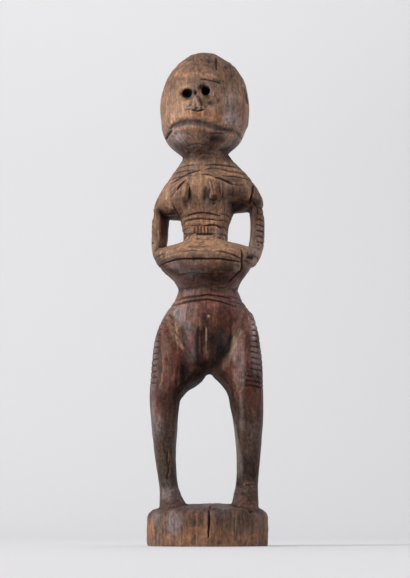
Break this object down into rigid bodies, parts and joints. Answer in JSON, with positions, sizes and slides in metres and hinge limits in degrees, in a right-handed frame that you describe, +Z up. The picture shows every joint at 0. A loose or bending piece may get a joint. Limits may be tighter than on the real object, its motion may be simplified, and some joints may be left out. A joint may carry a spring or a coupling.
{
  "type": "carved wood figure",
  "caption": "Standing carved wood figure with hands joined on the belly, grooved bands, notched thighs and a round base in one piece with it.",
  "frame": {"origin": "centre of the round base's flat underside", "axes": "+Z up along the figure, -Y the way the face looks, +X to the viewer's right"},
  "size_m": [0.0692, 0.0692, 0.2953],
  "materials": {
    "wood": "worn dark patina with shiny high spots"
  },
  "bodies": {
    "root": {"figure": "wood"}
  },
  "joints": []
}
